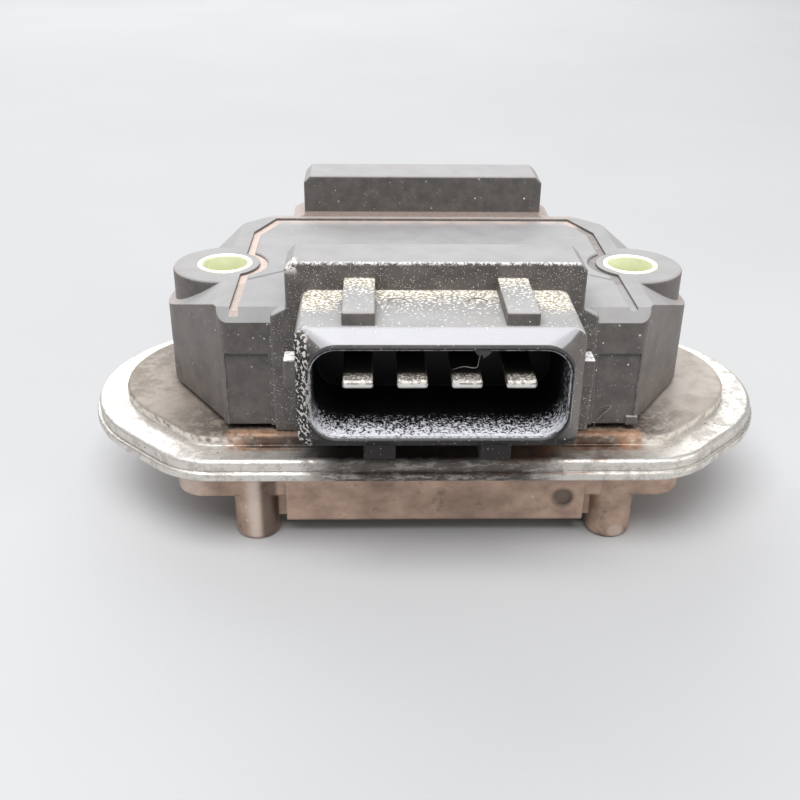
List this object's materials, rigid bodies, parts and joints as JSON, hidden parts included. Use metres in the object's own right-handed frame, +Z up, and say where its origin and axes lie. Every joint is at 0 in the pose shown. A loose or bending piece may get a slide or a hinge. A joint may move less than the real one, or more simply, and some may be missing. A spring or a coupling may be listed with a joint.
{
  "type": "ignition output stage",
  "caption": "Plastic power module with a blade connector at each end, two bushed ears and a domed-end cast heat-sink flange with fins and corner posts beneath.",
  "frame": {"origin": "midway between the two mounting bores, on the lower sealing face of the heat-sink flange", "axes": "+X along the line of the two bores, +Y from the signal connector to the coil connector, +Z up through the module, along the bores"},
  "size_m": [0.0756, 0.0571, 0.0317],
  "materials": {
    "cast_aluminium": "die-cast, oil-stained, bright on worn edges",
    "housing_plastic": "glass-filled, dusty, fine spark-eroded grain",
    "cover_plastic": "matte, dusty",
    "adhesive": "cured silicone adhesive",
    "chromated_steel": "yellow-green chromated zinc",
    "tinned_metal": "dull tin, soiled on top",
    "sheet_aluminium": "rolled sheet",
    "paste": "white thermal paste",
    "alumina": "as fired",
    "copper": "nickel-flashed copper",
    "silicon": "polished die with metallised pads",
    "moulding_compound": "transfer-moulded epoxy",
    "chip_ceramic": "glazed chip",
    "bond_wire": "drawn wire",
    "gel": "soft, clear"
  },
  "bodies": {
    "root": {"heat_sink": "cast_aluminium", "housing": "housing_plastic", "cover": "cover_plastic", "cover_bead": "adhesive", "left_bushing": "chromated_steel", "right_bushing": "chromated_steel", "base_plate": "sheet_aluminium", "base_bead": "adhesive", "thermal_paste": "paste", "substrate_glue": "adhesive", "ceramic_substrate": "alumina", "driver_chip": "moulding_compound", "chip_resistors": "chip_ceramic", "chip_capacitors": "chip_ceramic", "print_pads": "tinned_metal", "signal_wires": "bond_wire", "coil_wires": "bond_wire", "silicone_gel": "gel", "heat_spreader_1": "copper", "power_die_1": "silicon", "coil_terminal_1": "tinned_metal", "heat_spreader_2": "copper", "power_die_2": "silicon", "coil_terminal_2": "tinned_metal", "heat_spreader_3": "copper", "power_die_3": "silicon", "coil_terminal_3": "tinned_metal", "signal_terminal_1": "tinned_metal", "signal_terminal_2": "tinned_metal", "signal_terminal_3": "tinned_metal", "signal_terminal_4": "tinned_metal"}
  },
  "joints": []
}
